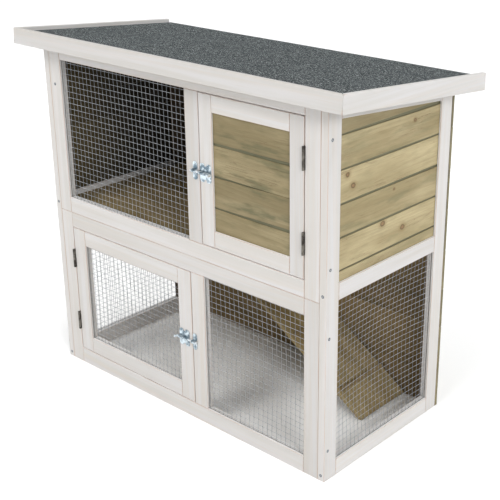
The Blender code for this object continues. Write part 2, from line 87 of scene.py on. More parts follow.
# Room light: the ceiling's and the backdrop's glow each grow along one axis of the direction looked in,
# as the axis, where the growth starts and ends, and the strength before and after it
ROOM_GLOWS = (("Z", 0.72, 0.95, 0.14, 1.7), ("Y", 0.05, 0.70, 0.0, 0.80))
ROOM_COLOUR = (0.98, 0.99, 1.0, 1.0)
FLOOR_SIZE = 80.0

# Hutch: places of its left side and front face, fall of its roof, height over which a board is upstairs
HUTCH_LEFT = -0.405
HUTCH_FRONT = -0.1918
ROOF_SLOPE = math.radians(5.0)
UPPER_STOREY = 370.0 * MM

# Wire mesh: each panel bows inwards in its middle, and its wires waver a little
WIRE_PITCH = 12.7 * MM
WIRE_RADIUS = 0.41 * MM
WIRE_SIDES = 6
WIRE_WAVE = 0.15 * MM
UPRIGHT_WAVER = 9.0
LEVEL_WAVER = 11.0
WAVE_FADE = 12.0
WIRE_BOW = {"right_mesh": 12.0 * MM, "front_lower_mesh": 5.5 * MM}
PLAIN_BOW = 3.5 * MM
# Each panel and the way its outer face looks
MESH_PANELS = {
    "front_upper_mesh": -Y, "front_lower_mesh": -Y, "lower_door_mesh": -Y, "right_mesh": X, "left_mesh": -X,
}

# Tongued boards. TONGUE and GROOVE are distances out from a board's rear face, and REAR_GAP is half of what
# keeps neighbours apart there.
BOARD_ROUND = 1.1 * MM
TONGUE = (2.6 * MM, 5.6 * MM)
TONGUE_HOLD = 2.6 * MM
GROOVE = (2.4 * MM, 5.8 * MM)
GROOVE_REACH = 3.0 * MM
REAR_GAP = 0.4 * MM
BOARD_STATIONS = 18
FACE_STEPS = 6
# Least and most hollow of a board's face, and its least and most bow, in millimetres
CUP_RANGE = (0.05, 0.3)
BOW_RANGE = (0.1, 0.3)
# Waver of a board's edges: height, multiple of the board's own phase, and how fast it turns along the board
EDGE_WAVES = ((0.18 * MM, 1, 7.0), (0.1 * MM, 2, 19.0))

# Seams between boards: height, and the open joint at the start, middle and end of the boards
SIDE_SEAMS = (
    (441.2 * MM, (3.2 * MM, 3.8 * MM, 3.4 * MM)),
    (506.6 * MM, (3.6 * MM, 4.4 * MM, 3.6 * MM)),
    (572.0 * MM, (3.8 * MM, 5.0 * MM, 4.4 * MM)),
    (637.4 * MM, (2.6 * MM, 4.8 * MM, 3.4 * MM)),
    (702.8 * MM, (2.8 * MM, 6.0 * MM, 7.0 * MM)),
)
DOOR_SEAMS = (
    (507.0 * MM, (3.0 * MM, 5.2 * MM, 6.2 * MM)),
    (572.5 * MM, (5.0 * MM, 1.8 * MM, 0.4 * MM)),
    (638.0 * MM, (4.6 * MM, 5.6 * MM, 6.4 * MM)),
)
BACK_SEAMS = tuple((height * MM, (1.0 * MM, 1.4 * MM, 1.0 * MM)) for height in range(105, 740, 90))

# Looks of boards, from the lowest one up: tone, shade and share of green blotches
SIDE_LOOKS = (
    (0.0, 1.04, 0.25), (-0.12, 1.10, 0.30), (-0.2, 1.02, 0.45),
    (0.20, 1.10, 0.15), (-0.1, 1.02, 0.35), (0.0, 0.80, 0.2),
)
DOOR_LOOKS = ((-0.15, 0.74, 0.6), (-0.3, 0.69, 0.8), (-0.1, 0.75, 0.75), (-0.45, 0.71, 0.8))
BACK_LOOKS = ((0.0, 0.9, 0.4), (0.15, 0.94, 0.3), (-0.2, 0.88, 0.5), (0.1, 0.92, 0.3), (-0.1, 0.9, 0.4))

# Knots of the right side's boards, in millimetres: distance behind the front face, height and radius
SIDE_KNOTS = (
    (61.5, 624.0, 3.6), (79.0, 599.5, 4.2), (174.0, 498.0, 4.6),
    (241.0, 472.0, 4.4), (207.5, 559.6, 2.0), (268.0, 684.0, 2.8),
)
# Grain: the most that a board's seed shifts it, and the most that its pith slants
SEED_REACH = 9.0
PITH_SLANT = 0.05
# The most that the pith is off the board's middle, and its least and greatest depth, in millimetres
PITH_OFFSET = 24.0
PITH_DEPTHS = (30.0, 75.0)
# Place along and across the board, and radius, where a board has no knot: too far off to show
NO_KNOT = (10.0, 10.0, 2.0 * MM)

# Tints of timber. The two rough sawn ones are for the rear of a board, below and in the upper storey;
# the upper storey's one is darkened further by painted shade.
PLAIN = (1.0, 1.0, 1.0)
ROUGH_SAWN = (0.52, 0.43, 0.32)
ROUGH_SAWN_IN_PAINTED_SHADE = (0.20, 0.18, 0.14)
# Looks of the inner pieces: tone and tint. The partition's and the roof board's dark tints are painted
# shade of the dim upper storey.
INNER_LOOKS = {
    "upper_floor": (0.1, (1.15, 1.2, 1.25)),
    "floor_batten": (0.0, PLAIN),
    "partition": (-0.1, (0.4, 0.38, 0.34)),
    "roof_board": (0.0, (0.5, 0.48, 0.44)),
}

# White members drawn darker or brighter than the others: partly paint that differs from member to member,
# partly painted light and shade: top rails lifted out of the roof's shadow, a brighter right side.
PAINT_TONE_AND_PAINTED_LIGHT = {
    "front_upper_mullion": 0.91,
    "roof_front_trim": 0.93,
    "upper_door_right_stile": 0.94,
    "front_lower_right_stile": 0.93,
    "front_lower_top_rail": 0.96,
    "right_rear_stile": 1.06,
    "right_bottom_rail": 1.12,
    "front_upper_top_rail": 1.06,
    "upper_door_top_rail": 1.04,
}
# Endings of the names of all white members and of those that follow the roof,
# and the member whose inward faces get painted shade
MEMBER_ENDINGS = ("_stile", "_rail", "_mullion", "_trim")
SLOPED_ENDINGS = ("_trim", "left_top_rail", "right_top_rail")
PAINTED_SHADE_MEMBER = "left_rear_stile"

# Ramp and its rungs. RUNGS are distances up the slope, RUNG_SIZE is a rung's width and height.
RAMP_SLOPE = math.radians(33.0)
RAMP_THICK = 10.0 * MM
RAMP_FOOT_CORNER = 10.0 * MM
RAMP_CORNER = 1.5 * MM
RAMP_ARRIS = 0.8 * MM
RUNGS = (80.0 * MM, 242.0 * MM, 404.0 * MM, 566.0 * MM)
RUNG_SIZE = (9.0 * MM, 6.0 * MM)
RUNG_ROUND = 1.6 * MM
RUNG_INSET = 8.0 * MM
RUNG_GAP = 0.2 * MM
RUNG_HALF_LENGTH = 70.0 * MM

# Roof felt: its grid, and the waves that make it uneven, with least and most turning over it and back
FELT_COLUMNS = 90
FELT_ROWS = 44
FELT_WAVES = 7
WAVES_OVER = (4, 26)
WAVES_BACK = (4, 30)
# Shares of the felt's thickness
FELT_SUNK = 0.15
FELT_UNEVEN = 0.16
FELT_BODY = 0.8

# Screws, with places in millimetres from the hutch's left side, its front face and the ground
WOOD_SCREW = 3.3 * MM
BOLT_SCREW = 2.1 * MM
FRONT_SCREWS = ((32.6, 681.0), (8.0, 401.5), (8.0, 11.0), (801.0, 402.0), (801.0, 12.0))
SIDE_SCREWS = ((11.5, 701.0), (11.0, 454.6), (10.5, 313.5), (11.0, 67.5))
BACK_SCREW_COLUMNS = (8.0, 405.0, 802.0)
BACK_SCREW_HEIGHTS = tuple(40.0 + 165.0 * row for row in range(5))
BOLT_PLATE_THICK = 1.0 * MM
PLATE_SCREW_INSET = (5.2 * MM, 4.8 * MM)
KEEPER_SCREW_INSET = 6.0 * MM
# How much further each screw's cross is turned than the one before it, in radians
CROSS_STEPS = {"front": 0.5, "side": 0.7, "back": 1.0, "plate": 0.9, "keeper": 1.1}

# A screw's head, in its own radii
HEAD_RINGS = 12
HEAD_SPOKES = 32
HEAD_DOME = 0.16
HEAD_DEPTH = 0.3
CROSS_HALF_WIDTH = 0.17
CROSS_HALF_LENGTH = 0.64
CROSS_DEPTH = 0.34
CROSS_SIDE_TAPER = 0.05
CROSS_END_TAPER = 0.10

# Colours. In the whitewash, the pale colour for faces that look up is painted light, and the colours for
# the mesh grooves and for one stile's inward faces are painted shade.
WHITEWASH = {
    "thin": srgb(188, 185, 181), "thick": srgb(194, 192, 191), "ring": srgb(196, 182, 166),
    "line": srgb(188, 177, 166), "knot": srgb(176, 140, 108), "painted_top_light": srgb(236, 235, 234),
    "bare": srgb(82, 68, 52), "rubbed": srgb(172, 134, 110), "painted_groove_shade": srgb(92, 82, 72),
}
# In the pine, the near-black colour is painted shade at the back of the upper storey
PINE = {
    "check": srgb(104, 66, 38), "halo": srgb(130, 110, 76), "knot": srgb(130, 102, 72),
    "rim": srgb(84, 66, 46), "joint": srgb(92, 92, 72), "painted_back_shade": srgb(24, 20, 15),
}
FELT = {
    "slate": (srgb(31, 36, 38), srgb(100, 105, 106)), "pale": srgb(178, 183, 182),
    "black": srgb(30, 35, 38), "worn": srgb(84, 90, 91),
}
FLOOR = (srgb(250, 250, 250), srgb(253, 253, 253))

# Metals: colour, colour of dull patches, roughness, stretch and depth of the scratches, metallic value.
# On the zinc plate the dull patches are partly zinc's own mottling and partly painted dark reflection.
UPRIGHT_STREAKS = (400.0, 400.0, 90.0)
LEVEL_STREAKS = (90.0, 90.0, 400.0)
METALS = {
    # Two copies of one wire: level wires paler as painted light from above, uprights darker as painted shade
    "galvanised_upright_painted_shade": (srgb(146, 149, 153), srgb(118, 122, 126), 0.46, UPRIGHT_STREAKS, 0.04 * MM, 0.4),
    "galvanised_level_painted_light": (srgb(186, 189, 193), srgb(156, 160, 164), 0.42, LEVEL_STREAKS, 0.04 * MM, 0.5),
    "zinc_plate": (srgb(218, 230, 237), srgb(112, 132, 145), 0.28, (120.0, 900.0, 900.0), 0.03 * MM, 0.92),
    "zinc_rod": (srgb(240, 244, 247), srgb(206, 214, 220), 0.3, (900.0, 120.0, 900.0), 0.03 * MM, 0.55),
    "zinc_screw": (srgb(96, 108, 120), srgb(66, 78, 90), 0.3, (600.0, 600.0, 600.0), 0.03 * MM, 0.92),
    "hinge_steel": (srgb(116, 112, 104), srgb(62, 58, 54), 0.38, (900.0, 900.0, 90.0), 0.04 * MM, 0.92),
}


# ---------------------------------------------------------------- camera, light and floor

def add_camera():
    """The camera, in front of the hutch and to its right."""
    lens = bpy.data.cameras.new("camera")
    lens.lens = LENS
    lens.sensor_width = FILM_WIDTH
    lens.shift_x, lens.shift_y = LENS_SHIFT
    lens.clip_end = FARTHEST_SEEN
    camera = bpy.data.objects.new("camera", lens)
    camera.location = CAMERA_PLACE
    camera.rotation_euler = (math.radians(CAMERA_TILT), 0.0, math.radians(CAMERA_HEADING))
    bpy.context.scene.collection.objects.link(camera)
    bpy.context.scene.camera = camera


def softbox(name, azimuth, elevation, size, power, colour):
    """A round softbox aimed at the hutch. azimuth is measured from straight in front, towards the right."""
    turn, rise = math.radians(azimuth), math.radians(elevation)
    away = Vector((math.sin(turn) * math.cos(rise), -math.cos(turn) * math.cos(rise), math.sin(rise)))
    data = bpy.data.lights.new(name, "AREA")
    data.shape = "DISK"
    data.size = size
    data.energy = power
    data.color = colour
    lamp = bpy.data.objects.new(name, data)
    lamp.location = SOFTBOX_AIM + away * SOFTBOX_DISTANCE
    lamp.rotation_euler = away.to_track_quat("Z", "Y").to_euler()
    bpy.context.scene.collection.objects.link(lamp)


def add_room():
    """Light from all round: a large soft ceiling and a lit backdrop behind the hutch."""
    world = bpy.data.worlds.new("studio")
    world.use_nodes = True
    tree = world.node_tree
    where = tree.nodes.new("ShaderNodeTexCoord")
    split = tree.nodes.new("ShaderNodeSeparateXYZ")
    total = tree.nodes.new("ShaderNodeMath")
    total.operation = "ADD"
    tree.links.new(where.outputs["Generated"], split.inputs["Vector"])
    for index, (axis, start, end, dim, bright) in enumerate(ROOM_GLOWS):
        glow = tree.nodes.new("ShaderNodeMapRange")
        glow.interpolation_type = "SMOOTHSTEP"
        for name, value in {"From Min": start, "From Max": end, "To Min": dim, "To Max": bright}.items():
            glow.inputs[name].default_value = value
        tree.links.new(split.outputs[axis], glow.inputs["Value"])
        tree.links.new(glow.outputs["Result"], total.inputs[index])
    tree.links.new(total.outputs[0], tree.nodes["Background"].inputs["Strength"])
    tree.nodes["Background"].inputs["Color"].default_value = ROOM_COLOUR
    bpy.context.scene.world = world


def add_studio():
    """The room's light, the softboxes and a wide floor."""
    bpy.context.scene.view_settings.view_transform = "Standard"
    add_room()
    for name, facts in SOFTBOXES.items():
        softbox(name, *facts)
    bpy.ops.mesh.primitive_grid_add(x_subdivisions=8, y_subdivisions=8, size=FLOOR_SIZE)
    floor = bpy.context.object
    floor.name = "floor"
    floor.data.materials.append(floor_material())


# ---------------------------------------------------------------- material building

class Graph:
    """A material's node tree, one call per node. An input may be a value or another node's socket."""

    def __init__(self, name):
        self.material = bpy.data.materials.new(name)
        self.material.use_nodes = True
        self.tree = self.material.node_tree
        self.shader = self.tree.nodes["Principled BSDF"]

    def feed(self, socket, value):
        """Link value to the socket if it is one itself, or else set it."""
        if isinstance(value, bpy.types.NodeSocket):
            self.tree.links.new(value, socket)
        else:
            socket.default_value = value

    def add(self, kind, settings=(), **inputs):
        """A new node. An input's name is written with _ for a space."""
        node = self.tree.nodes.new(f"ShaderNode{kind}")
        for key, value in dict(settings).items():
            setattr(node, key, value)
        for key, value in inputs.items():
            self.feed(node.inputs[key.replace("_", " ")], value)
        return node

    def math(self, operation, first, second=0.0, clamp=False):
        """One operation on one or two numbers."""
        node = self.add("Math", {"operation": operation, "use_clamp": clamp})
        for socket, value in zip(node.inputs, (first, second)):
            self.feed(socket, value)
        return node.outputs[0]

    def vector(self, operation, first, second=(0.0, 0.0, 0.0)):
        """One operation on one or two vectors."""
        node = self.add("VectorMath", {"operation": operation})
        self.feed(node.inputs[0], first)
        self.feed(node.inputs[1], second)
        return node.outputs["Value" if operation in ("DOT_PRODUCT", "LENGTH") else "Vector"]

    def noise(self, where, stretch, detail=3.0, rough=0.55):
        """Cloudy noise. stretch: how many of its waves a metre holds along each axis."""
        scaled = self.vector("MULTIPLY", where, stretch)
        return self.add("TexNoise", Vector=scaled, Scale=1.0, Detail=detail, Roughness=rough).outputs["Fac"]

    def cells(self, where, scale):
        """A node of irregular cells, scale of them to a metre."""
        return self.add("TexVoronoi", Vector=where, Scale=scale)

    def between(self, value, low, high, to_low=0.0, to_high=1.0):
        """value from low to high as a smooth step from to_low to to_high."""
        node = self.add("MapRange", {"interpolation_type": "SMOOTHSTEP"})
        for socket, given in zip(node.inputs, (value, low, high, to_low, to_high)):
            self.feed(socket, given)
        return node.outputs["Result"]

    def blend(self, amount, first, second, mode="MIX"):
        """The first colour, with the second mixed into it."""
        node = self.add("Mix", {"data_type": "RGBA", "blend_type": mode})
        self.feed(node.inputs[0], amount)
        self.feed(node.inputs[6], first)
        self.feed(node.inputs[7], second)
        return node.outputs[2]

    def object_value(self, name, output="Vector"):
        """A piece's own custom property."""
        node = self.add("Attribute", {"attribute_type": "OBJECT", "attribute_name": name})
        return node.outputs[output]

    def place(self):
        """Where the shaded point is, in the piece's own space."""
        return self.add("TexCoord").outputs["Object"]

    def finish(self, roughness, bump=None, depth=0.0, **fixed):
        """Feed the shader what it still needs, and give the material. depth: how deep the bump is."""
        self.feed(self.shader.inputs["Roughness"], roughness)
        if bump is not None:
            made = self.add("Bump", Height=bump, Distance=depth, Strength=1.0)
            self.feed(self.shader.inputs["Normal"], made.outputs["Normal"])
        for name, value in fixed.items():
            self.feed(self.shader.inputs[name.replace("_", " ")], value)
        return self.material


def timber_space(graph):
    """Where a point is in its own board, in metres from the board's middle.

    Gives it as a vector, as its parts (along, across, through), and as a vector shifted by the board's seed.
    """
    local = graph.vector("SUBTRACT", graph.place(), graph.object_value("middle"))
    names = ("along", "across", "through")
    axes = [graph.vector("DOT_PRODUCT", local, graph.object_value(name)) for name in names]
    plain = graph.add("CombineXYZ", X=axes[0], Y=axes[1], Z=axes[2]).outputs[0]
    shifted = graph.vector("ADD", plain, graph.object_value("seed"))
    return plain, axes, shifted


def depth_below_face(graph, axes):
    """How far a point lies behind the board's face."""
    half = graph.add("SeparateXYZ", Vector=graph.object_value("half")).outputs[2]
    return graph.math("SUBTRACT", half, axes[2])


def knot_distance(graph, axes, name):
    """Distance from a knot in knot radii, and the knot's radius. A knot is longer than it is wide."""
    split = graph.add("SeparateXYZ", Vector=graph.object_value(name)).outputs
    along = graph.math("MULTIPLY", graph.math("SUBTRACT", axes[0], split[0]), 0.8)
    across = graph.math("SUBTRACT", axes[1], split[1])
    apart = graph.add("CombineXYZ", X=along, Y=across, Z=0.0).outputs[0]
    return graph.math("DIVIDE", graph.vector("LENGTH", apart), split[2]), split[2]


def growth_rings(graph, axes, shifted, pitch):
    """Darkness of the growth rings, and the distance to the nearest knot in knot radii.

    A ring goes from pale early wood to dark late wood. The rings run round the pith, and swerve at knots.
    """
    pith = graph.add("SeparateXYZ", Vector=graph.object_value("pith")).outputs
    wander = graph.math("MULTIPLY", graph.noise(shifted, (3.0, 14.0, 14.0), 2.0), 0.016)
    drift = graph.math("MULTIPLY", axes[0], pith[0])
    across = graph.math("ADD", graph.math("SUBTRACT", axes[1], pith[1]), graph.math("ADD", drift, wander))
    through = graph.math("SUBTRACT", axes[2], pith[2])
    radius = graph.vector("LENGTH", graph.add("CombineXYZ", X=across, Y=through, Z=0.0).outputs[0])
    near = []
    for name in ("knot_a", "knot_b"):
        apart, size = knot_distance(graph, axes, name)
        fading = graph.math("MULTIPLY", graph.math("MULTIPLY", apart, apart), -0.22)
        pull = graph.math("POWER", 2.718, fading)
        swerve = graph.math("MULTIPLY", graph.math("MULTIPLY", pull, size), 1.1)
        radius = graph.math("ADD", radius, swerve)
        near.append(apart)
    nearest = graph.math("MINIMUM", near[0], near[1])
    ring = graph.math("FRACT", graph.math("DIVIDE", radius, pitch))
    late = graph.math("POWER", ring, 2.6)
    crisp = graph.math("SUBTRACT", 1.0, graph.between(ring, 0.90, 1.0))
    return graph.math("MULTIPLY", late, crisp), nearest


def box_distances(graph, plain):
    """Distances inwards from the nearest face, and to the nearest arris, of a box-shaped piece."""
    inward = graph.vector("SUBTRACT", graph.object_value("half"), graph.vector("ABSOLUTE", plain))
    x, y, z = graph.add("SeparateXYZ", Vector=inward).outputs
    total = graph.math("ADD", graph.math("ADD", x, y), z)
    least = graph.math("MINIMUM", graph.math("MINIMUM", x, y), z)
    most = graph.math("MAXIMUM", graph.math("MAXIMUM", x, y), z)
    return least, graph.math("SUBTRACT", graph.math("SUBTRACT", total, least), most)


def whitewash_material():
    """Thin white paint on planed pine: the grain shows through in warm lines, and the arrises are rubbed.

    Faces that look up carry painted light; the mesh grooves and one stile's inward faces carry painted
    shade.
    """
    graph = Graph("whitewashed_pine")
    plain, axes, shifted = timber_space(graph)
    rings, knot = growth_rings(graph, axes, shifted, 4.2 * MM)
    fine = graph.noise(shifted, (9.0, 620.0, 620.0), 3.0, 0.6)
    broad = graph.noise(shifted, (2.5, 60.0, 60.0), 2.0)
    brushed = graph.noise(shifted, (30.0, 1500.0, 1500.0), 2.0)
    colour = graph.blend(graph.between(broad, 0.35, 0.68), WHITEWASH["thin"], WHITEWASH["thick"])
    colour = graph.blend(graph.math("MULTIPLY", rings, 0.30), colour, WHITEWASH["ring"])
    colour = graph.blend(graph.between(fine, 0.56, 0.72, 0.0, 0.42), colour, WHITEWASH["line"])
    colour = graph.blend(graph.between(knot, 0.5, 1.5, 0.5, 0.0), colour, WHITEWASH["knot"])
    normal = graph.add("SeparateXYZ", Vector=graph.add("NewGeometry").outputs["Normal"]).outputs
    square = graph.object_value("square", "Fac")
    # Painted light: faces that look up are drawn paler, as if lit from above
    painted_top_light = graph.math("MULTIPLY", graph.between(normal[2], 0.5, 0.9, 0.0, 0.85), square)
    colour = graph.blend(painted_top_light, colour, WHITEWASH["painted_top_light"])
    # Painted shade: one stile's faces that look into the upper room are drawn dark brown
    inwards = graph.math("MAXIMUM", normal[0], graph.math("MULTIPLY", normal[1], -1.0))
    bare = graph.math("MULTIPLY", graph.between(inwards, 0.4, 0.7), graph.object_value("bare", "Fac"))
    colour = graph.blend(bare, colour, WHITEWASH["bare"])
    inside, arris = box_distances(graph, plain)
    rubbed = graph.between(arris, 0.3 * MM, 1.3 * MM, 1.0, 0.0)
    patchy = graph.between(graph.noise(shifted, (16.0, 160.0, 160.0), 3.0), 0.30, 0.58, 0.25, 1.0)
    worn = graph.math("MULTIPLY", graph.math("MULTIPLY", rubbed, patchy), 0.65)
    colour = graph.blend(worn, colour, WHITEWASH["rubbed"])
    # Painted shade: the narrow mesh grooves are drawn dark, as shade deep inside them
    painted_groove_shade = graph.math("MULTIPLY", graph.between(inside, 0.4 * MM, 1.2 * MM, 0.0, 0.35), square)
    colour = graph.blend(painted_groove_shade, colour, WHITEWASH["painted_groove_shade"])
    # Each member's own factor, partly paint tone and partly painted light and shade
    colour = graph.blend(1.0, colour, graph.object_value("tint", "Color"), "MULTIPLY")
    graph.feed(graph.shader.inputs["Base Color"], colour)
    relief = graph.math("ADD", graph.math("MULTIPLY", fine, 0.6), graph.math("MULTIPLY", brushed, 0.4))
    relief = graph.math("SUBTRACT", relief, graph.math("MULTIPLY", rings, 0.5))
    rough = graph.between(fine, 0.3, 0.7, 0.48, 0.62)
    return graph.finish(rough, relief, 0.16 * MM, Specular_IOR_Level=0.3)


def joint_darkness(graph, axes, colour):
    """Darken a board in its open joints and on its rough rear, which gets painted shade towards the back
    upstairs.
    """
    depth = depth_below_face(graph, axes)
    deep = graph.between(depth, 0.9 * MM, 1.9 * MM, 0.0, 0.85)
    recess = graph.math("MULTIPLY", deep, graph.between(depth, 4.0 * MM, 6.0 * MM, 1.0, 0.0))
    colour = graph.blend(recess, colour, PINE["joint"])
    # The rough rear takes the rear tint, which upstairs is darkened further by painted shade
    rough_sawn = graph.between(depth, 6.0 * MM, 7.2 * MM)
    colour = graph.blend(rough_sawn, colour, graph.object_value("rear", "Color"), "MULTIPLY")
    # Painted shade: rear faces grow darker towards the back of the upper storey
    where = graph.add("SeparateXYZ", Vector=graph.place()).outputs
    backwards = graph.between(where[1], -0.14, 0.06, 0.0, 0.72)
    painted_back_shade = graph.math("MULTIPLY", backwards, graph.between(where[2], 0.36, 0.42))
    return graph.blend(graph.math("MULTIPLY", rough_sawn, painted_back_shade), colour, PINE["painted_back_shade"])


def pine_material(name, light, dark, green, contrast, open_joints=False):
    """Pressure-treated pine: growth rings, streaks, greenish patches, knots, checks and dark open joints."""
    graph = Graph(name)
    _, axes, shifted = timber_space(graph)
    rings, knot = growth_rings(graph, axes, shifted, 5.0 * MM)
    streak = graph.noise(shifted, (6.0, 380.0, 380.0), 4.0, 0.62)
    fibre = graph.noise(shifted, (22.0, 1300.0, 1300.0), 2.0)
    cloud = graph.noise(shifted, (5.0, 22.0, 22.0), 3.0)
    mottle = graph.noise(shifted, (26.0, 110.0, 110.0), 3.0, 0.6)
    tone = graph.object_value("tone", "Fac")
    mix = graph.math("ADD", graph.between(cloud, 0.28, 0.75), tone, clamp=True)
    colour = graph.blend(mix, dark, light)
    patches = graph.between(graph.noise(shifted, (9.0, 42.0, 42.0), 4.0, 0.6), 0.48, 0.68)
    colour = graph.blend(graph.math("MULTIPLY", patches, graph.object_value("blotch", "Fac")), colour, green)
    colour = graph.blend(graph.between(mottle, 0.45, 0.7, 0.0, 0.15), colour, green)
    late_wood = (dark[0] * 0.62, dark[1] * 0.58, dark[2] * 0.50, 1.0)
    colour = graph.blend(graph.math("MULTIPLY", rings, contrast), colour, late_wood)
    colour = graph.blend(graph.between(streak, 0.5, 0.74, 0.0, 0.5), colour, dark)
    colour = graph.blend(graph.between(fibre, 0.52, 0.74, 0.0, 0.42), colour, late_wood)
    check = graph.noise(shifted, (11.0, 420.0, 420.0), 1.0)
    off_line = graph.math("ABSOLUTE", graph.math("SUBTRACT", check, 0.60))
    crack = graph.math("SUBTRACT", 1.0, graph.between(off_line, 0.0, 0.018))
    crack = graph.math("MULTIPLY", crack, graph.between(graph.noise(shifted, (6.0, 30.0, 30.0)), 0.52, 0.60))
    colour = graph.blend(graph.math("MULTIPLY", crack, 0.7), colour, PINE["check"])
    ragged = graph.math("MULTIPLY", graph.math("SUBTRACT", mottle, 0.5), 1.4)
    knot = graph.math("ADD", knot, ragged)
    colour = graph.blend(graph.between(knot, 0.9, 3.2, 0.65, 0.0), colour, PINE["halo"])
    colour = graph.blend(graph.between(knot, 0.5, 1.1, 0.9, 0.0), colour, PINE["knot"])
    rim = graph.between(graph.math("ABSOLUTE", graph.math("SUBTRACT", knot, 1.0)), 0.0, 0.5, 0.85, 0.0)
    colour = graph.blend(rim, colour, PINE["rim"])
    # The piece's tint, which for the partition and the roof board is painted shade
    colour = graph.blend(1.0, colour, graph.object_value("tint", "Color"), "MULTIPLY")
    if open_joints:
        colour = joint_darkness(graph, axes, colour)
    graph.feed(graph.shader.inputs["Base Color"], colour)
    relief = graph.math("ADD", graph.math("MULTIPLY", streak, 0.5), graph.math("MULTIPLY", fibre, 0.5))
    relief = graph.math("ADD", relief, graph.math("MULTIPLY", rings, 0.5))
    relief = graph.math("SUBTRACT", relief, crack)
    return graph.finish(0.72, relief, 0.25 * MM, Specular_IOR_Level=0.3)


def felt_material():
    """Bitumen felt dressed with crushed mineral: mostly slate grey grains, some pale, some black."""
    graph = Graph("mineral_felt")
    where = graph.place()
    grains = graph.cells(where, 640.0)
    coarse = graph.cells(where, 330.0)
    shade = graph.add("SeparateColor", Color=grains.outputs["Color"]).outputs[0]
    other = graph.add("SeparateColor", Color=coarse.outputs["Color"]).outputs[1]
    colour = graph.blend(graph.between(shade, 0.1, 0.9), *FELT["slate"])
    colour = graph.blend(graph.between(shade, 0.8, 0.95, 0.0, 0.8), colour, FELT["pale"])
    colour = graph.blend(graph.between(other, 0.0, 0.5, 0.7, 0.0), colour, FELT["black"])
    worn = graph.noise(where, (9.0, 9.0, 9.0), 4.0)
    colour = graph.blend(graph.between(worn, 0.35, 0.7, 0.0, 0.25), colour, FELT["worn"])
    graph.feed(graph.shader.inputs["Base Color"], colour)
    height = graph.math("SUBTRACT", graph.math("MULTIPLY", shade, 0.5), grains.outputs["Distance"])
    return graph.finish(0.95, height, 0.5 * MM, Specular_IOR_Level=0.1)


def metal_material(name, colour, dull_and_dark_reflection, roughness, scratches, depth, metallic):
    """Plated steel: colour and roughness wander a little, with fine scratches."""
    graph = Graph(name)
    where = graph.place()
    cloud = graph.noise(where, (110.0, 110.0, 110.0), 4.0, 0.6)
    scratch = graph.noise(where, scratches, 2.0)
    # Dull patches; on the zinc plate they are partly painted dark reflection
    tint = graph.blend(graph.between(cloud, 0.40, 0.64), colour, dull_and_dark_reflection)
    graph.feed(graph.shader.inputs["Base Color"], tint)
    cloudy = graph.between(cloud, 0.3, 0.75, roughness, roughness + 0.16)
    rough = graph.math("ADD", cloudy, graph.between(scratch, 0.5, 0.8, 0.0, 0.08))
    return graph.finish(rough, scratch, depth, Metallic=metallic)


def floor_material():
    """A matt, nearly white floor."""
    graph = Graph("studio_floor")
    where = graph.place()
    graph.feed(graph.shader.inputs["Base Color"], graph.blend(graph.noise(where, (0.6, 0.6, 0.6)), *FLOOR))
    return graph.finish(0.9, graph.noise(where, (40.0, 40.0, 40.0)), 0.05 * MM, Specular_IOR_Level=0.1)


# ---------------------------------------------------------------- timber pieces

def describe_timber(
    piece, low, high, key, along=None, face=None, tone=0.0, knots=(), tint=PLAIN, blotch=0.4
):
    """Give a wooden piece the facts that its material reads.

    low, high: its bounding box. key: what its seed comes from. along: the way its grain runs. face: the
    normal of its face. blotch: how much its green patches show.
    Of the properties, rear is the tint of its rear face, which holds painted shade upstairs;
    bare is 1 for the member whose inward faces get painted shade;
    and square is 0 for one that follows the roof.
    """
    size = high - low
    if along is None:
        along = max((X, Y, Z), key=lambda axis: abs(size.dot(axis)))
    if face is None:
        face = min((X, Y, Z), key=lambda axis: abs(size.dot(axis)))
    across = face.cross(along)
    dice = random.Random(key)
    middle = (low + high) / 2
    piece["middle"] = middle
    piece["along"] = along
    piece["across"] = across
    piece["through"] = face
    piece["half"] = [abs(size.dot(axis)) / 2 for axis in (along, across, face)]
    piece["seed"] = [dice.uniform(-SEED_REACH, SEED_REACH) for _ in range(3)]
    pith_depth = dice.choice((-1, 1)) * dice.uniform(*PITH_DEPTHS) * MM
    pith_slant = dice.uniform(-PITH_SLANT, PITH_SLANT)
    piece["pith"] = [pith_slant, dice.uniform(-PITH_OFFSET, PITH_OFFSET) * MM, pith_depth]
    piece["tone"] = tone
    piece["tint"] = tint
    piece["blotch"] = blotch
    piece["bare"] = 1.0 if key == PAINTED_SHADE_MEMBER else 0.0
    # Upstairs the rear tint holds painted shade as well as the rough sawn colour
    piece["rear"] = ROUGH_SAWN_IN_PAINTED_SHADE if low.z > UPPER_STOREY else ROUGH_SAWN
    piece["square"] = 0.0 if key.endswith(SLOPED_ENDINGS) else 1.0
    for name, knot in zip(("knot_a", "knot_b"), list(knots) + [None, None]):
        if knot is None:
            piece[name] = NO_KNOT
        else:
            at = Vector(knot[0]) - middle
            piece[name] = [at.dot(along), at.dot(across), knot[1]]


def new_piece(name, work, material, body, smooth_angle):
    """An object made of a finished bmesh, on its body. Edges over smooth_angle degrees stay sharp."""
    mesh = bpy.data.meshes.new(name)
    bmesh.ops.recalc_face_normals(work, faces=work.faces)
    work.to_mesh(mesh)
    work.free()
    mesh.materials.append(material)
    mesh.shade_smooth()
    mesh.set_sharp_from_angle(angle=math.radians(smooth_angle))
    piece = bpy.data.objects.new(name, mesh)
    bpy.context.scene.collection.objects.link(piece)
    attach(piece, body)
    return piece


def loft(work, sections):
    """Skin a list of closed outlines that all have the same number of points, and cap both ends."""
    rings = [[work.verts.new(point) for point in section] for section in sections]
    count = len(rings[0])
    for near, far in zip(rings, rings[1:]):
        for i in range(count):
            j = (i + 1) % count
            work.faces.new((near[i], near[j], far[j], far[i]))
    work.faces.new(rings[0])
    work.faces.new(rings[-1])


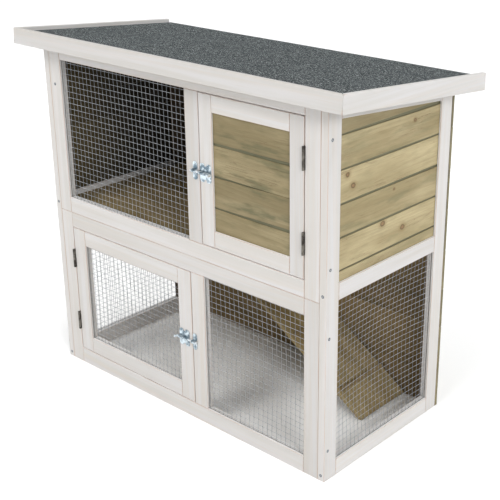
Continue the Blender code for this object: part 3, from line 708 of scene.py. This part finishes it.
def quarter(centre, radius, start, steps=4):
    """Points on a quarter circle, as (across, out)."""
    found = []
    for step in range(steps + 1):
        angle = math.radians(start + 90.0 * step / steps)
        found.append((centre[0] + radius * math.cos(angle), centre[1] + radius * math.sin(angle)))
    return found


def curve_through(start, middle, end, share):
    """A quadratic curve through three evenly spaced values."""
    rest = 1 - share
    return start * rest * (1 - 2 * share) + middle * 4 * share * rest + end * share * (2 * share - 1)


def board_outline(low, high, thick, reveal_below, reveal_above, cup):
    """Outline of a tongued board as (across, out). A reveal is a joint's height, or None at a plain edge."""
    rear_low = low if reveal_below is None else low - reveal_below / 2 + REAR_GAP
    rear_high = high if reveal_above is None else high + reveal_above / 2 - REAR_GAP
    points = [(rear_low, 0.0)]
    if reveal_below is not None:
        points += [(rear_low, GROOVE[0]), (low + GROOVE_REACH, GROOVE[0])]
        points += [(low + GROOVE_REACH, GROOVE[1]), (low, GROOVE[1])]
    points += quarter((low + BOARD_ROUND, thick - BOARD_ROUND), BOARD_ROUND, 90.0)[::-1]
    for step in range(1, FACE_STEPS):
        share = step / FACE_STEPS
        spread = low + BOARD_ROUND + (high - low - 2 * BOARD_ROUND) * share
        points.append((spread, thick - cup * math.sin(math.pi * share)))
    points += quarter((high - BOARD_ROUND, thick - BOARD_ROUND), BOARD_ROUND, 0.0)[::-1]
    if reveal_above is not None:
        tip = high + reveal_above + TONGUE_HOLD
        points += [(high, TONGUE[1]), (tip, TONGUE[1]), (tip, TONGUE[0]), (rear_high, TONGUE[0])]
    points.append((rear_high, 0.0))
    return points


def tongued_board(
    name, body, span, along, back, out, edges, reveals, thick, material, look, knots, slope
):
    """One board of a cladding panel. span: its ends; back: its rear face; out: outward normal.

    edges: heights of its lower and upper seams. reveals: three heights of the open joint for each seam, from
    the start to the end of the board, or None where its edge is hidden. look: its tone, shade and share of
    green blotches. slope: fall of its top edge along its length.
    """
    dice = random.Random(name)
    cup = dice.uniform(*CUP_RANGE) * MM
    phase = dice.uniform(0.0, FULL_TURN)
    bow = dice.uniform(*BOW_RANGE) * MM
    sections = []
    for step in range(BOARD_STATIONS + 1):
        share = step / BOARD_STATIONS
        where = span[0] + (span[1] - span[0]) * share
        wobble = sum(size * math.sin(turns * phase + speed * share) for size, turns, speed in EDGE_WAVES)
        below, above = (None if seam is None else curve_through(*seam, share) for seam in reveals)
        low = edges[0] if below is None else edges[0] + below / 2 + wobble
        high = edges[1] if above is None else edges[1] - above / 2 + wobble
        if above is None:
            high = max(low + 2.5 * BOARD_ROUND, high - slope * (where - span[0]))
        lift = bow * (math.sin(math.pi * share + phase) - 1.0)
        outline = board_outline(low, high, thick, below, above, cup)
        sections.append([
            along * where + Z * height + out * (back + forward + (lift if forward > TONGUE[1] else 0.0))
            for height, forward in outline
        ])
    work = bmesh.new()
    loft(work, sections)
    piece = new_piece(name, work, material, body, 50.0)
    corners = [point for section in sections for point in section]
    lowest = Vector([min(corner[i] for corner in corners) for i in range(3)])
    highest = Vector([max(corner[i] for corner in corners) for i in range(3)])
    describe_timber(piece, lowest, highest, name, along, out, look[0], knots, [look[1]] * 3, look[2])
    return piece


def cladding(node, out, seams, looks, knots, material, slope=0.0):
    """Replace a CAD panel by its separate boards. out is the way its face looks; seams: (height, reveals).

    looks: each board's tone, shade and share of green blotches, from the lowest board up.
    """
    low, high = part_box(node)
    along = X if abs(out.y) > 0.5 else Y
    span = (low.dot(along), high.dot(along))
    axis = Y if along is X else X
    back = low.dot(axis) if out.dot(axis) > 0 else -high.dot(axis)
    thick = high.dot(axis) - low.dot(axis)
    inside = [seam for seam in seams if low.z + 4 * BOARD_ROUND < seam[0] < high.z - 4 * BOARD_ROUND]
    seams = [(low.z, None)] + inside + [(high.z, None)]
    for index, (lower, upper) in enumerate(zip(seams, seams[1:])):
        held = [knot for knot in knots if lower[0] < knot[0][2] < upper[0]]
        tongued_board(
            f"{node}_board_{index + 1}", BODY_OF[node], span, along, back, out, (lower[0], upper[0]),
            (lower[1], upper[1]), thick, material, looks[index % len(looks)], held[:2],
            slope if index == len(seams) - 2 else 0.0,
        )
    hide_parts(node)


def wear(piece, material):
    """Give a CAD piece one material in place of what it has."""
    piece.data.materials.clear()
    piece.data.materials.append(material)


def timber_nodes(looks, material):
    """Keep CAD members as they are, each with its own stretch of grain. looks: tone and tint by name."""
    for name, (tone, tint) in looks.items():
        piece = NODES[name]
        wear(piece, material)
        low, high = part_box(name)
        describe_timber(piece, low, high, name, tone=tone, tint=tint)


# ---------------------------------------------------------------- wire mesh

def add_wire(work, points):
    """A round wire along a nearly straight line of points."""
    run = (points[-1] - points[0]).normalized()
    side = run.orthogonal().normalized()
    other = run.cross(side)
    sections = []
    for point in points:
        section = []
        for step in range(WIRE_SIDES):
            angle = 2 * math.pi * step / WIRE_SIDES
            section.append(point + (side * math.cos(angle) + other * math.sin(angle)) * WIRE_RADIUS)
        sections.append(section)
    loft(work, sections)


def wire_places(width):
    """Where parallel wires stand across a width, the same distance from both its ends."""
    count = int(width / WIRE_PITCH)
    first = (width - (count - 1) * WIRE_PITCH) / 2
    return [first + WIRE_PITCH * index for index in range(count)]


def parallel_wires(dice, length, width, waver, point):
    """All wires of one direction. point: turns a place across and a distance along into a point."""
    work = bmesh.new()
    steps = max(4, int(length / WIRE_PITCH) * 2)
    for place in wire_places(width):
        phase, sway = dice.uniform(0, FULL_TURN), dice.uniform(0.5, 1.0) * WIRE_WAVE
        points = []
        for step in range(steps + 1):
            share = step / steps
            # Waves die out where the wires enter their grooves
            fade = min(1.0, WAVE_FADE * min(share, 1.0 - share))
            points.append(point(place + sway * math.sin(phase + waver * share) * fade, length * share))
        add_wire(work, points)
    return work


def wire_mesh(node, out, upright_painted_shade_material, level_painted_light_material):
    """Welded wires in place of a CAD mesh plate: level wires on the outside, uprights behind them.

    The level wires take a paler copy of the metal, as painted light, and the uprights a darker one, as
    painted shade.
    """
    low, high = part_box(node)
    across = X if abs(out.y) > 0.5 else Y
    middle = (low + high) / 2
    wide = high.dot(across) - low.dot(across)
    tall = high.z - low.z
    dice = random.Random(node)
    bow = WIRE_BOW.get(node, PLAIN_BOW)

    def in_panel(u, v, layer):
        """A point u across and v up the panel, and layer out from its bowed middle."""
        shape = math.sin(math.pi * u / wide) * math.sin(math.pi * v / tall)
        bowed = layer - bow * shape
        return middle + across * (u - wide / 2) + Z * (v - tall / 2) + out * bowed

    work = parallel_wires(dice, tall, wide, UPRIGHT_WAVER, lambda u, v: in_panel(u, v, -WIRE_RADIUS))
    piece = new_piece(f"{node}_uprights", work, upright_painted_shade_material, BODY_OF[node], 80.0)
    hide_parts(node)
    work = parallel_wires(dice, wide, tall, LEVEL_WAVER, lambda v, u: in_panel(u, v, WIRE_RADIUS))
    new_piece(f"{node}_level_wires", work, level_painted_light_material, BODY_OF[node], 80.0)


# ---------------------------------------------------------------- roof felt

def felt_grid(work, low, high, waves):
    """Rows of vertices of one face of the felt: its uneven top if there are waves, or else its underside."""
    slope = math.tan(ROOF_SLOPE)
    run = high.y - low.y
    thick = high.z - low.z - run * slope
    grid = []
    for row in range(FELT_ROWS + 1):
        line = []
        for column in range(FELT_COLUMNS + 1):
            x = low.x + (high.x - low.x) * column / FELT_COLUMNS
            y = low.y + run * row / FELT_ROWS
            z = high.z - slope * (y - low.y) - thick * FELT_SUNK
            if waves:
                uneven = sum(math.sin(a * x + b * y + phase) for a, b, phase in waves) / len(waves)
                z += uneven * FELT_UNEVEN * thick
            else:
                z -= thick * FELT_BODY
            line.append(work.verts.new((x, y, z)))
        grid.append(line)
    return grid


def felt_sheet(material):
    """A sheet that lies a little unevenly on the roof board."""
    low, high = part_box("roof_felt")
    dice = random.Random("felt")
    spans = (WAVES_OVER, WAVES_BACK, (0, FULL_TURN))
    waves = [[dice.uniform(*span) for span in spans] for _ in range(FELT_WAVES)]
    work = bmesh.new()
    top = felt_grid(work, low, high, waves)
    bottom = felt_grid(work, low, high, ())
    for grid in (top, bottom):
        for near, far in zip(grid, grid[1:]):
            for column in range(FELT_COLUMNS):
                work.faces.new((near[column], near[column + 1], far[column + 1], far[column]))
    columns = range(FELT_COLUMNS)
    rows = range(FELT_ROWS)
    border = [(0, column) for column in columns] + [(row, FELT_COLUMNS) for row in rows]
    border += [(FELT_ROWS, column + 1) for column in reversed(columns)]
    border += [(row + 1, 0) for row in reversed(rows)]
    for (row, column), (next_row, next_column) in zip(border, border[1:] + border[:1]):
        work.faces.new((
            top[row][column], top[next_row][next_column], bottom[next_row][next_column], bottom[row][column]
        ))
    piece = new_piece("roof_felt_sheet", work, material, BODY_OF["roof_felt"], 60.0)
    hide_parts("roof_felt")


# ---------------------------------------------------------------- screws

def head_height(u, v):
    """Height of a screw's head at a point, in its radii: a shallow dome with a tapering cross recess."""
    apart = math.hypot(u, v)
    dome = HEAD_DOME * (1.0 - apart * apart)
    narrow, long = min(abs(u), abs(v)), max(abs(u), abs(v))
    within_width = max(0.0, min(1.0, (CROSS_HALF_WIDTH - narrow) / CROSS_SIDE_TAPER))
    within_length = max(0.0, min(1.0, (CROSS_HALF_LENGTH - long) / CROSS_END_TAPER))
    return dome - CROSS_DEPTH * within_width * within_length


def screw_head(name, where, out, radius, material, body, turn):
    """A countersunk cross-head screw."""
    side = out.orthogonal().normalized()
    side.rotate(Matrix.Rotation(turn, 3, out))
    other = out.cross(side)
    work = bmesh.new()
    centre = work.verts.new(Vector(where) + out * head_height(0.0, 0.0) * radius)
    last = None
    for ring in range(1, HEAD_RINGS + 1):
        reach = ring / HEAD_RINGS
        line = []
        for spoke in range(HEAD_SPOKES):
            angle = 2 * math.pi * spoke / HEAD_SPOKES
            u, v = reach * math.cos(angle), reach * math.sin(angle)
            line.append(work.verts.new(
                Vector(where) + (side * u + other * v) * radius + out * head_height(u, v) * radius
            ))
        for spoke in range(HEAD_SPOKES):
            after = (spoke + 1) % HEAD_SPOKES
            if last is None:
                work.faces.new((centre, line[spoke], line[after]))
            else:
                work.faces.new((last[spoke], line[spoke], line[after], last[after]))
        last = line
    foot = [work.verts.new(vert.co - out * radius * HEAD_DEPTH) for vert in last]
    for spoke in range(HEAD_SPOKES):
        after = (spoke + 1) % HEAD_SPOKES
        work.faces.new((last[spoke], foot[spoke], foot[after], last[after]))
    work.faces.new(foot)
    new_piece(name, work, material, body, 35.0)


def from_corner(x, z, y=0.0):
    """A point given from the hutch's left side, its ground and its front face, in millimetres."""
    return Vector((x * MM + HUTCH_LEFT, y * MM + HUTCH_FRONT, z * MM))


def frame_screws(material):
    """Screws through the frames, on all four sides."""
    low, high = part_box("right_front_stile")
    left_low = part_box("left_front_stile")[0]
    for index, (x, z) in enumerate(FRONT_SCREWS):
        where = from_corner(x, z)
        where.y = low.y
        turn = CROSS_STEPS["front"] * index
        screw_head(f"front_screw_{index + 1}", where, -Y, WOOD_SCREW, material, "hutch", turn)
    for side, face_x, out in (("right", high.x, X), ("left", left_low.x, -X)):
        for index, (y, z) in enumerate(SIDE_SCREWS):
            where = from_corner(0.0, z, y)
            where.x = face_x
            turn = CROSS_STEPS["side"] * index
            screw_head(f"{side}_screw_{index + 1}", where, out, WOOD_SCREW, material, "hutch", turn)
    back_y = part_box("back_panel")[1].y
    for column, x in enumerate(BACK_SCREW_COLUMNS):
        for row, z in enumerate(BACK_SCREW_HEIGHTS):
            where = from_corner(x, z)
            where.y = back_y
            turn = CROSS_STEPS["back"] * row
            screw_head(f"back_screw_{column + 1}_{row + 1}", where, Y, WOOD_SCREW, material, "hutch", turn)


def bolt_screws(prefix, material, door_body):
    """Four screws in a bolt's plate, which turn with its door, and two in its keeper."""
    low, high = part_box(f"{prefix}_bolt_plate")
    face_y = high.y - BOLT_PLATE_THICK
    inset_x, inset_z = PLATE_SCREW_INSET
    columns = (low.x + inset_x, high.x - inset_x)
    rows = (low.z + inset_z, high.z - inset_z)
    for index, (x, z) in enumerate([(x, z) for x in columns for z in rows]):
        name = f"{prefix}_bolt_plate_screw_{index + 1}"
        screw_head(name, (x, face_y, z), -Y, BOLT_SCREW, material, door_body, CROSS_STEPS["plate"] * index)
    low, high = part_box(f"{prefix}_bolt_keeper")
    face_y = high.y - BOLT_PLATE_THICK
    for index, z in enumerate((low.z + KEEPER_SCREW_INSET, high.z - KEEPER_SCREW_INSET)):
        name = f"{prefix}_keeper_screw_{index + 1}"
        where = ((low.x + high.x) / 2, face_y, z)
        screw_head(name, where, -Y, BOLT_SCREW, material, "hutch", CROSS_STEPS["keeper"] * index)


# ---------------------------------------------------------------- ramp

def ramp_frame():
    """The ramp's box, its underside's corner at the foot, the way uphill, its face's normal, its length."""
    low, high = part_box("ramp")
    uphill = Vector((-math.cos(RAMP_SLOPE), 0.0, math.sin(RAMP_SLOPE)))
    upright = Vector((math.sin(RAMP_SLOPE), 0.0, math.cos(RAMP_SLOPE)))
    foot = Vector((high.x - RAMP_THICK * math.sin(RAMP_SLOPE), 0.0, low.z))
    length = (high.z - low.z - RAMP_THICK * math.cos(RAMP_SLOPE)) / math.sin(RAMP_SLOPE)
    return low, high, foot, uphill, upright, length


def ramp_board(material):
    """The ramp with eased arrises and its front corner at the foot sawn round."""
    low, high, foot, uphill, upright, length = ramp_frame()
    sections = []
    levels = ((0.0, RAMP_ARRIS), (RAMP_ARRIS, 0.0), (RAMP_THICK - RAMP_ARRIS, 0.0), (RAMP_THICK, RAMP_ARRIS))
    for out, inset in levels:
        near, far = low.y + inset, high.y - inset
        start, end = inset, length - inset
        outline = []
        for along, across, radius, turn in (
            (start, near, RAMP_FOOT_CORNER, 180.0), (end, near, RAMP_CORNER, 270.0),
            (end, far, RAMP_CORNER, 0.0), (start, far, RAMP_CORNER, 90.0),
        ):
            inner_along = along + radius if along == start else along - radius
            inner_across = across + radius if across == near else across - radius
            outline += quarter((inner_along, inner_across), radius, turn, 6)
        sections.append([foot + uphill * u + Y * v + upright * out for u, v in outline])
    work = bmesh.new()
    loft(work, sections)
    piece = new_piece("ramp_sawn_board", work, material, BODY_OF["ramp"], 30.0)
    describe_timber(piece, low, high, "ramp", uphill, upright, 0.15, tint=(1.1, 1.15, 1.1))
    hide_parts("ramp")


def ramp_rungs(material):
    """Battens nailed across the ramp, square to its slope, with their upper arrises rounded."""
    low, high, foot, uphill, upright, _ = ramp_frame()
    wide, tall = RUNG_SIZE
    outline = [(-wide / 2, 0.0)]
    outline += quarter((-wide / 2 + RUNG_ROUND, tall - RUNG_ROUND), RUNG_ROUND, 90.0)[::-1]
    outline += quarter((wide / 2 - RUNG_ROUND, tall - RUNG_ROUND), RUNG_ROUND, 0.0)[::-1]
    outline += [(wide / 2, 0.0)]
    for index, distance in enumerate(RUNGS):
        base = foot + uphill * distance + upright * (RAMP_THICK + RUNG_GAP)
        work = bmesh.new()
        loft(work, [
            [base + Y * y + uphill * up + upright * out for up, out in outline]
            for y in (low.y + RUNG_INSET, (low.y + high.y) / 2, high.y - RUNG_INSET / 2)
        ])
        name = f"ramp_rung_{index + 1}"
        piece = new_piece(name, work, material, "hutch", 50.0)
        middle = base + Y * (low.y + high.y) / 2
        reach = Vector((wide, RUNG_HALF_LENGTH, tall))
        describe_timber(piece, middle - reach, middle + reach, name, Y, Z, -0.2)


# ---------------------------------------------------------------- assembly

def dress_timber():
    """Paint the frames, board the sides, the door and the back, and lay the ramp."""
    white = whitewash_material()
    pine = pine_material(
        "treated_pine", srgb(176, 162, 127), srgb(146, 132, 98), srgb(104, 104, 76), 0.30, open_joints=True
    )
    inner_pine = pine_material("inner_pine", srgb(146, 126, 90), srgb(112, 92, 60), srgb(100, 92, 64), 0.40)
    members = [name for name in sorted(NODES) if name.endswith(MEMBER_ENDINGS)]
    timber_nodes({name: (0.0, [PAINT_TONE_AND_PAINTED_LIGHT.get(name, 1.0)] * 3) for name in members}, white)
    timber_nodes(INNER_LOOKS, inner_pine)
    side_knots = [(from_corner(0.0, z, y), radius * MM) for y, z, radius in SIDE_KNOTS]
    fall = math.tan(ROOF_SLOPE)
    cladding("right_cladding", X, SIDE_SEAMS, SIDE_LOOKS, side_knots, pine, fall)
    cladding("left_cladding", -X, SIDE_SEAMS, SIDE_LOOKS[::-1], (), pine, fall)
    cladding("upper_door_cladding", -Y, DOOR_SEAMS, DOOR_LOOKS, (), pine)
    cladding("back_panel", Y, BACK_SEAMS, BACK_LOOKS, (), pine)
    ramp_board(inner_pine)
    ramp_rungs(inner_pine)


def dress_metal(metals):
    """Give the bolts and hinges their metals, and add the screws."""
    for name, piece in NODES.items():
        if "bolt" in name:
            wear(piece, metals["zinc_rod" if name.endswith("_bolt") else "zinc_plate"])
        if "hinge" in name:
            wear(piece, metals["hinge_steel"])
    frame_screws(metals["zinc_screw"])
    for door in ("upper", "lower"):
        bolt_screws(door, metals["zinc_plate"], f"{door}_door")


def build():
    """The stage, then the timber, the wires, the felt and the metal."""
    add_camera()
    add_studio()
    metals = {name: metal_material(name, *facts) for name, facts in METALS.items()}
    dress_timber()
    for node, out in MESH_PANELS.items():
        wire_mesh(node, out, metals["galvanised_upright_painted_shade"], metals["galvanised_level_painted_light"])
    felt_sheet(felt_material())
    dress_metal(metals)


build()
